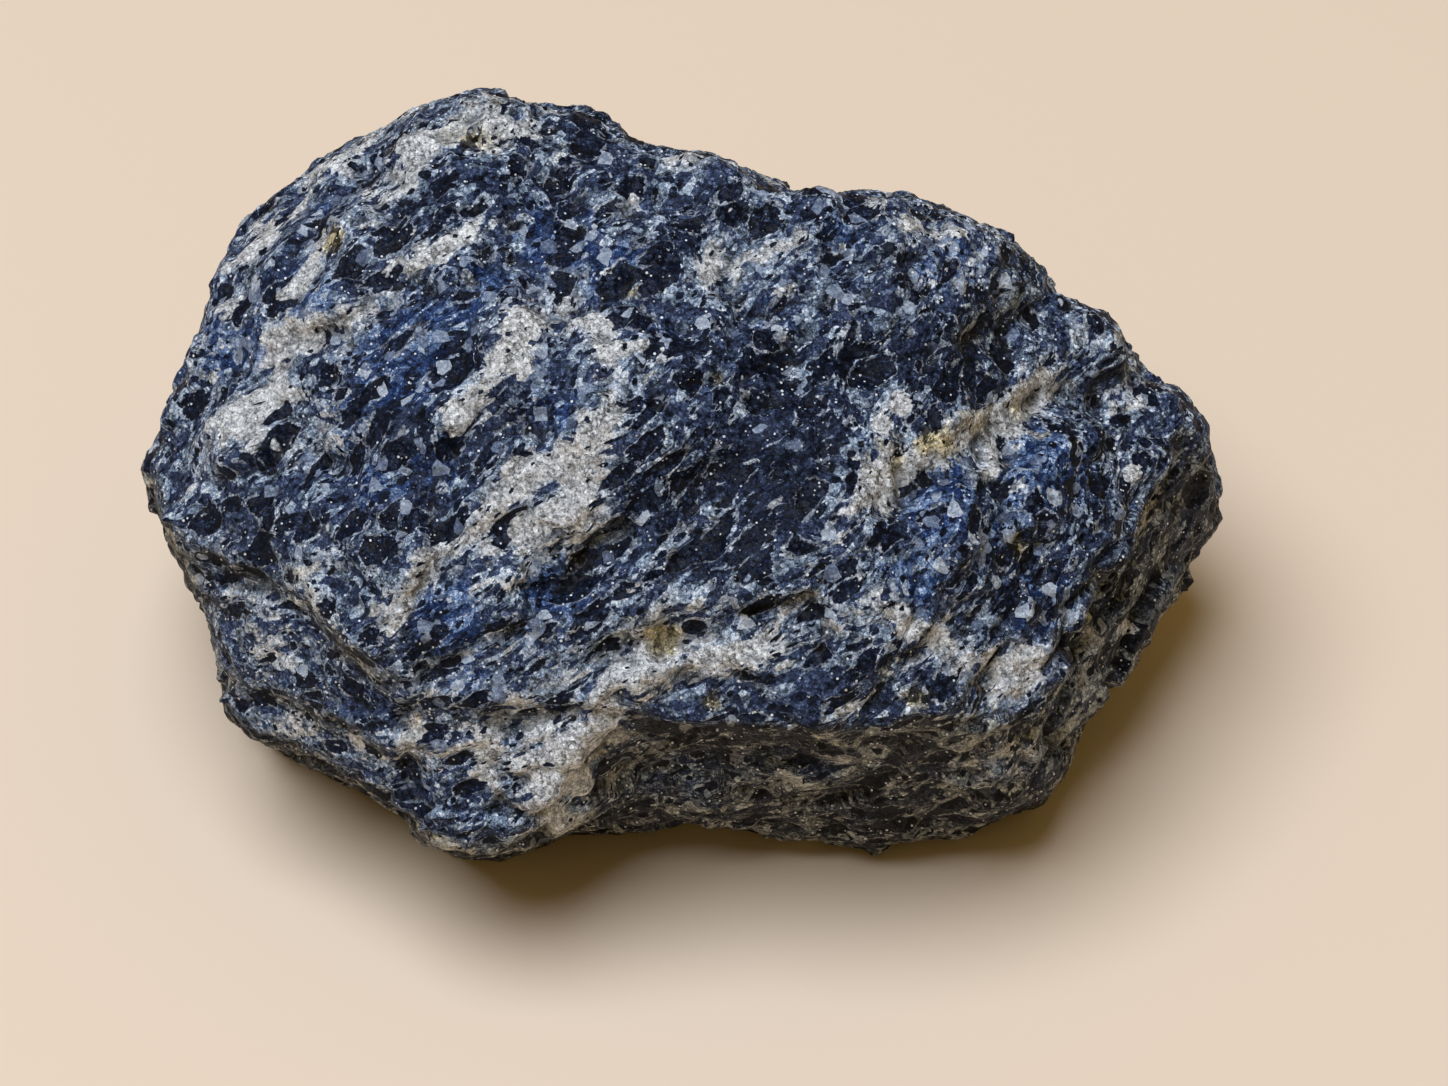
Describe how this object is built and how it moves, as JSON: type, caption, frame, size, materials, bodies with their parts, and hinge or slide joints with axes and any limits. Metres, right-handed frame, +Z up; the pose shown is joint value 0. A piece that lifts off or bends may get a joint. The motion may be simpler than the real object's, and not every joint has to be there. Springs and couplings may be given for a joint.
{
  "type": "dumortierite specimen",
  "caption": "Rough broken stone of blue dumortierite in pale quartz, with layered ledges, ribs and pits, lying on its flattest side; a mineral hand specimen for display or study.",
  "frame": {"origin": "on the surface under the stone, at the middle of its length and depth", "axes": "+X along its length, +Y to its back, +Z up"},
  "size_m": [0.1025, 0.0782, 0.0623],
  "materials": {
    "stone": "rough broken rock: navy and blue grains in sugary pale quartz, with brown stain in the crevices"
  },
  "bodies": {
    "root": {"stone": "stone"}
  },
  "joints": []
}
